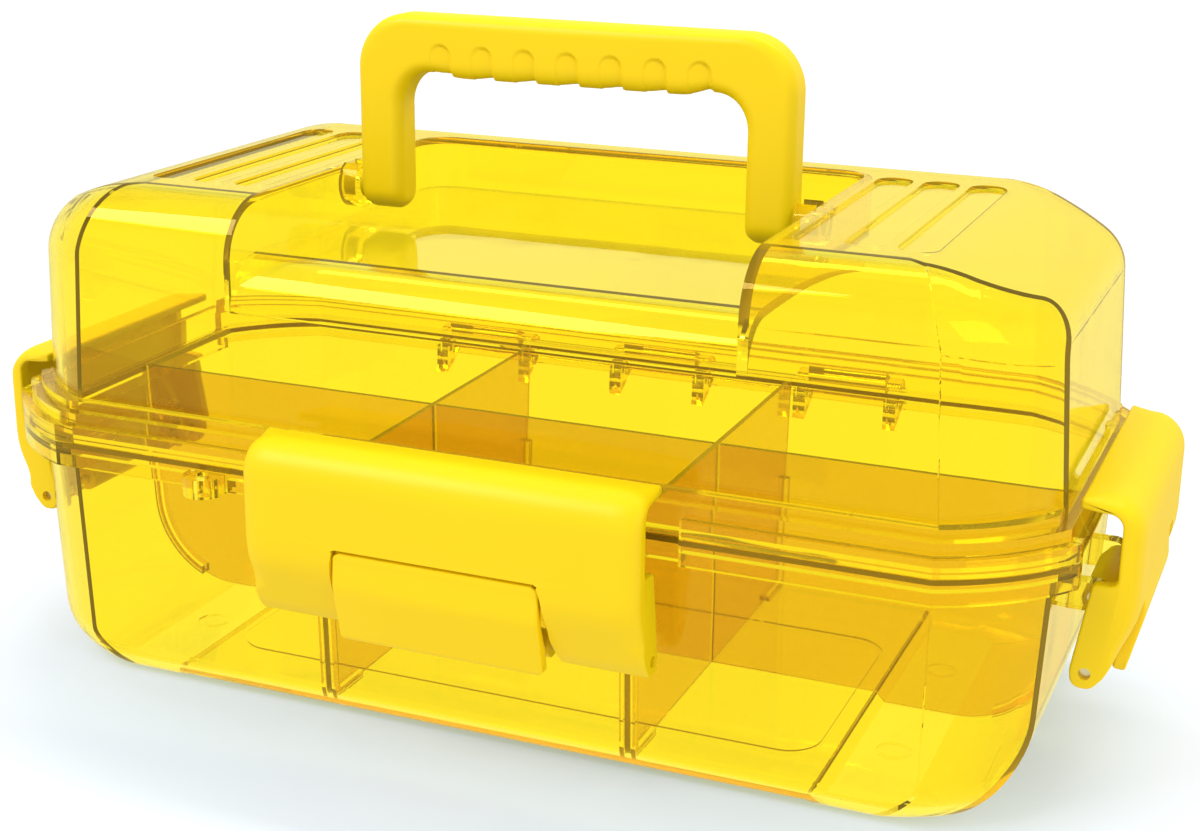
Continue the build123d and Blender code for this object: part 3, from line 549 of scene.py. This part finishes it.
def fingerMarkTree(size):
    # Round-topped hollows along the grip, each deepening to the right up to a crisp step
    tree = bpy.data.node_groups.new("fingerMarks", "GeometryNodeTree")
    tree.interface.new_socket("Geometry", in_out="INPUT", socket_type="NodeSocketGeometry")
    for name, value in size.items():
        socket = tree.interface.new_socket(name, in_out="INPUT", socket_type="NodeSocketFloat")
        socket.default_value = value
    tree.interface.new_socket("Geometry", in_out="OUTPUT", socket_type="NodeSocketGeometry")
    given = addNode(tree, "NodeGroupInput").outputs

    def math2(operation, a, b=None, c=None):
        node = addNode(tree, "ShaderNodeMath", None, {"operation": operation})
        for i, value in enumerate((a, b, c)):
            if isinstance(value, (int, float)):
                node.inputs[i].default_value = value
            elif value is not None:
                tree.links.new(value, node.inputs[i])
        return node.outputs[0]

    place = addNode(tree, "GeometryNodeInputPosition")
    inMm = addNode(tree, "ShaderNodeVectorMath", {0: place.outputs[0]}, {"operation": "SCALE"}, Scale=1 / mm)
    split = addNode(tree, "ShaderNodeSeparateXYZ", {0: inMm.outputs[0]})
    x, z = split.outputs["X"], split.outputs["Z"]
    radius = math2("MULTIPLY", given["Width"], 0.5)
    lastPlace = math2("MULTIPLY", math2("SUBTRACT", given["Count"], 1), 0.5)
    nearest = math2("ROUND", math2("ADD", math2("DIVIDE", x, given["Pitch"]), math2("FRACT", lastPlace)))
    nearest = math2("SUBTRACT", nearest, math2("FRACT", lastPlace))
    nearest = math2("MAXIMUM", math2("MINIMUM", nearest, lastPlace), math2("MULTIPLY", lastPlace, -1))
    fromMiddle = math2("SUBTRACT", x, math2("MULTIPLY", nearest, given["Pitch"]))
    over = math2("MAXIMUM", math2("SUBTRACT", z, math2("SUBTRACT", given["Top"], radius)), 0)
    away = math2("SQRT", math2("ADD", math2("POWER", fromMiddle, 2), math2("POWER", over, 2)))
    inside = addNode(tree, "ShaderNodeMapRange", {"Value": math2("SUBTRACT", radius, away), "From Max": given["Edge"]},
                     {"interpolation_type": "SMOOTHSTEP"})
    ramp = addNode(tree, "ShaderNodeMapRange",
                   {"Value": fromMiddle, "From Min": math2("MULTIPLY", radius, -1), "From Max": radius},
                   {"interpolation_type": "SMOOTHSTEP"}, To_Min=0.25, To_Max=1.0)
    depth = math2("MULTIPLY", math2("MULTIPLY", inside.outputs[0], ramp.outputs[0]), given["Depth"])
    depth = math2("MULTIPLY", depth, math2("GREATER_THAN", z, 205.0))
    normal = addNode(tree, "GeometryNodeInputNormal")
    inwards = addNode(tree, "ShaderNodeVectorMath", {0: normal.outputs[0], "Scale": math2("MULTIPLY", depth, -mm)},
                      {"operation": "SCALE"})
    moved = addNode(tree, "GeometryNodeSetPosition", {"Geometry": given["Geometry"], "Offset": inwards.outputs[0]})
    real = addNode(tree, "GeometryNodeRealizeInstances", {0: moved.outputs[0]})
    coat = addNode(tree, "GeometryNodeSetMaterial", {"Geometry": real.outputs[0]})
    coat.inputs["Material"].default_value = materials["yellow_plastic"]
    addNode(tree, "NodeGroupOutput", {"Geometry": coat.outputs[0]})
    return tree


def runTree(obj, tree, values):
    modifier = obj.modifiers.new(tree.name, "NODES")
    modifier.node_group = tree
    for item in tree.interface.items_tree:
        if item.in_out == "INPUT" and item.name in values:
            modifier[item.identifier] = float(values[item.name])
    applyModifiers(obj)


def makePin(size, side):
    start, end, radius = size["halfWidth"] - 3.0, size["pinEnd"], size["pinRadius"]
    steps, bevel = 48, 0.6
    sections = [(start, radius), (end - bevel, radius), (end - 0.3 * bevel, radius - 0.3 * bevel), (end, radius - bevel)]
    pivotY, pivotZ = size["pivot"]
    verts = []
    for x, r in sections:
        verts += [(side * x, pivotY + r * math.cos(k * math.tau / steps), pivotZ + r * math.sin(k * math.tau / steps))
                  for k in range(steps)]
    faces = [(r * steps + k, r * steps + (k + 1) % steps, (r + 1) * steps + (k + 1) % steps, (r + 1) * steps + k)
             for r in range(3) for k in range(steps)]
    faces += [tuple(range(steps)), tuple(range(3 * steps, 4 * steps))]
    pin = meshObject("handlePin", verts, faces)
    tidyMesh(pin, 50)
    return pin


def makeHandle(size):
    bail = makeBail(size)
    runTree(bail, fingerMarkTree(fingerSize), fingerSize)
    handle = joinAll("carryHandle", [bail, makePin(size, -1), makePin(size, 1)])
    paint(handle, "yellow_plastic")
    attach(handle, "handle")
    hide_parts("handle")


makeHandle(handleSize)
print("handle made")

rim = {"halfLength": 199.0, "halfDepth": 98.5, "top": 93.5, "middleY": 3.0}  # mm
latchSize = {
    "halfWidth": {"front": 72.0, "right": 54.0, "left": 54.0},
    "leverHalf": {"front": 37.5, "right": 30.0, "left": 30.0},
    "link": (2.7, -42.3), "pivot": (-0.5, -28.0), "pinRadius": 2.0, "barrelRadius": 4.6,
    "plate": 3.2, "cheek": 4.5, "windowRadius": 30.3, "gap": 1.0, "topGap": 1.5,
    "windowCorner": (-15.9, 3.0), "leverTop": (-17.4, 2.2),  # height and corner radius
    "flare": (-29.0, -50.0, 3.4), "leverLow": (-50.6, 2.5),  # the window flares between these heights, by so much
    "web": 3.0, "webOut": 8.0, "barrelHalf": 17.7,
}
# Outlines in a latch's own section: mm out from the rim's face, mm up from the joint, corner radius
cheekOutline = [
    (-3.0, 16.5, 1.2), (17.5, 17.9, 12.0), (17.5, -23.5, 30.0), (8.6, -43.2, 10.0), (4.8, -47.7, 4.0),
    (-1.6, -47.5, 3.6), (-2.3, -41.5, 8.0), (2.6, -11.4, 1.6), (10.4, -11.4, 2.6), (10.4, 12.3, 4.5),
    (2.0, 12.7, 6.0), (-3.0, 13.3, 1.2),
]
hollowOutline = [
    (14.3, 9.0, 4.0), (11.0, 13.4, 3.0), (-12.0, 13.3, 0), (-12.0, -60.0, 0), (3.0, -60.0, 0), (5.6, -42.0, 1.0),
    (14.3, -22.8, 27.0),
]
leverOutline = [
    (17.2, -10.5, 0), (16.8, -21.0, 14.0), (17.4, -29.5, 12.0), (12.4, -50.3, 1.5), (8.2, -49.6, 1.5),
    (9.6, -41.0, 4.0), (13.5, -31.0, 6.0), (13.4, -21.0, 10.0), (13.9, -10.5, 0),
]


def latchFrame(place):
    def toWorld(out, up, across):
        if place == "front":
            return (across, rim["middleY"] - rim["halfDepth"] - out, rim["top"] + up)
        side = 1 if place == "right" else -1
        return (side * (rim["halfLength"] + out), rim["middleY"] + across, rim["top"] + up)
    return toWorld


def circleLoop(centre, radius, count=64):
    return [Vector((centre[0] + radius * math.cos(k * math.tau / count), centre[1] + radius * math.sin(k * math.tau / count)))
            for k in range(count)]


def bodyEnd(point):
    # Broad and shallow on the outer face and over the top, small round the opening, the foot and the back
    if point.x < 11.5 and point.y < 13.5 or point.y < -44:
        return 0.9, 0.9
    over = max(0.0, point.y - 6.0) * 1.1
    outer = smoothStep(8.0, 14.0, point.x + over) * smoothStep(-46.0, -34.0, point.y)
    lip = smoothStep(-2.5, 5.0, point.x)
    return 0.9 + 2.7 * outer * lip, 0.9 + 9.0 * outer * lip


def leverEnd(point):
    return 0.8, 0.8


def plainEnd(point):
    return 0.5, 0.5


def cornered(half, low, top):
    # Half the width, less where corners of given (height, radius) round off its low and top ends
    def halfAt(point):
        trimmed = half
        for (height, radius), way in ((low, 1), (top, -1)):
            past = min(max(0.0, radius - (point.y - height) * way), radius)
            trimmed -= radius - math.sqrt(radius**2 - past**2)
        return trimmed
    return halfAt


def makeLatchBody(place, size):
    toWorld = latchFrame(place)
    half, leverHalf, link = size["halfWidth"][place], size["leverHalf"][place], size["link"]
    body = roundedBar(f"{place}LatchBody", filletedLoop(cheekOutline), bodyEnd, lambda p: half, toWorld)
    inner = half - size["cheek"]
    hollow = prism("hollow", filletedLoop(hollowOutline), lambda p: (-inner, inner), toWorld)
    flareTop, flareEnd, flare = size["flare"]

    flat = -1000.0, 1.0
    plainWidth = cornered(leverHalf + size["gap"], flat, size["windowCorner"])

    def windowEdge(point):
        wide = plainWidth(point) + flare * smoothStep(flareTop, flareEnd, point.y)
        return -wide, wide

    radius = size["windowRadius"]
    arc = [Vector((link[0] + radius * math.cos(math.radians(a)), link[1] + radius * math.sin(math.radians(a))))
           for a in range(86, -60, -2)]
    lowEdge = [Vector((4.5, z)) for z in range(-68, -12, 2)]
    window = prism("window", arc + lowEdge, windowEdge, toWorld)
    hole = prism("hole", circleLoop(link, size["pinRadius"] + 0.05), lambda p: (-half - 5, half + 5), toWorld)
    for tool in (hollow, window, hole):
        tidyMesh(tool, 30)
    cut(body, hollow, window, hole)
    tidyMesh(body, 38)
    webs = []
    for side in (-1, 1):
        middle = side * (leverHalf + size["webOut"] + size["web"] / 2)
        loop = filletedLoop([(link[0] - 4.6, link[1], 3.0), (link[0] - 3.6, link[1] - 4.6, 2.0), (8.2, -42.2, 1.0),
                             (15.9, -22.5, 0), (15.9, -9.5, 0)])
        webs.append(roundedBar("web", loop, plainEnd, lambda p: size["web"] / 2,
                               lambda out, up, across: toWorld(out, up, across + middle), 2))
    body = joinAll(f"{place}LatchBody", [body] + webs)
    paint(body, "yellow_plastic")
    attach(body, f"{place}_latch")
    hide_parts(f"{place}_latch_body")


def ringPrism(centre, inner, outer, half, toWorld, steps=120):
    # A square ring that trims the lever's top to an arc about the link pin
    verts = []
    for across in (-half, half):
        for radius in (inner, outer):
            verts += [toWorld(p.x, p.y, across) for p in circleLoop(centre, radius, steps)]
    faces = []
    for k in range(steps):
        j = (k + 1) % steps
        corners = [(loop * steps + k, loop * steps + j) for loop in (0, 1, 3, 2)]
        for (a, b), (c, d) in zip(corners, corners[1:] + corners[:1]):
            faces.append((a, b, d, c))
    ring = meshObject("trim", verts, faces)
    tidyMesh(ring, 30)
    return ring


def makeLatchLever(place, size):
    toWorld = latchFrame(place)
    leverHalf, link, pivot = size["leverHalf"][place], size["link"], size["pivot"]
    tab = roundedBar("tab", filletedLoop(leverOutline, runStep=1.0), leverEnd,
                     cornered(leverHalf, size["leverLow"], size["leverTop"]), toWorld, 3)
    radius = size["windowRadius"] - size["topGap"]
    cut(tab, ringPrism(link, radius, radius + 30, leverHalf + 9, toWorld))
    tidyMesh(tab, 38)
    barrel = roundedBar("barrel", circleLoop(link, size["barrelRadius"], 40), plainEnd,
                        lambda p: leverHalf - 0.4, toWorld, 2)
    reach = size["barrelRadius"]
    armLoop = filletedLoop([
        (pivot[0] - reach, pivot[1] - 1, 3.0), (link[0] - reach, link[1] + 1, 3.0), (link[0] + 2, link[1] - 4.4, 3.0),
        (13.0, -41.0, 1.0), (15.0, -33.5, 1.0), (15.0, -27.0, 1.0), (pivot[0] + 1, pivot[1] + reach, 3.6),
    ])
    arms = roundedBar("arms", armLoop, plainEnd, lambda p: size["barrelHalf"], toWorld, 2)
    lever = joinAll(f"{place}LatchLever", [tab, barrel, arms])
    paint(lever, "yellow_plastic")
    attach(lever, f"{place}_lever")
    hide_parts(f"{place}_latch_lever")


for latchPlace in ("front", "right", "left"):
    makeLatchBody(latchPlace, latchSize)
    makeLatchLever(latchPlace, latchSize)
print("latches made")
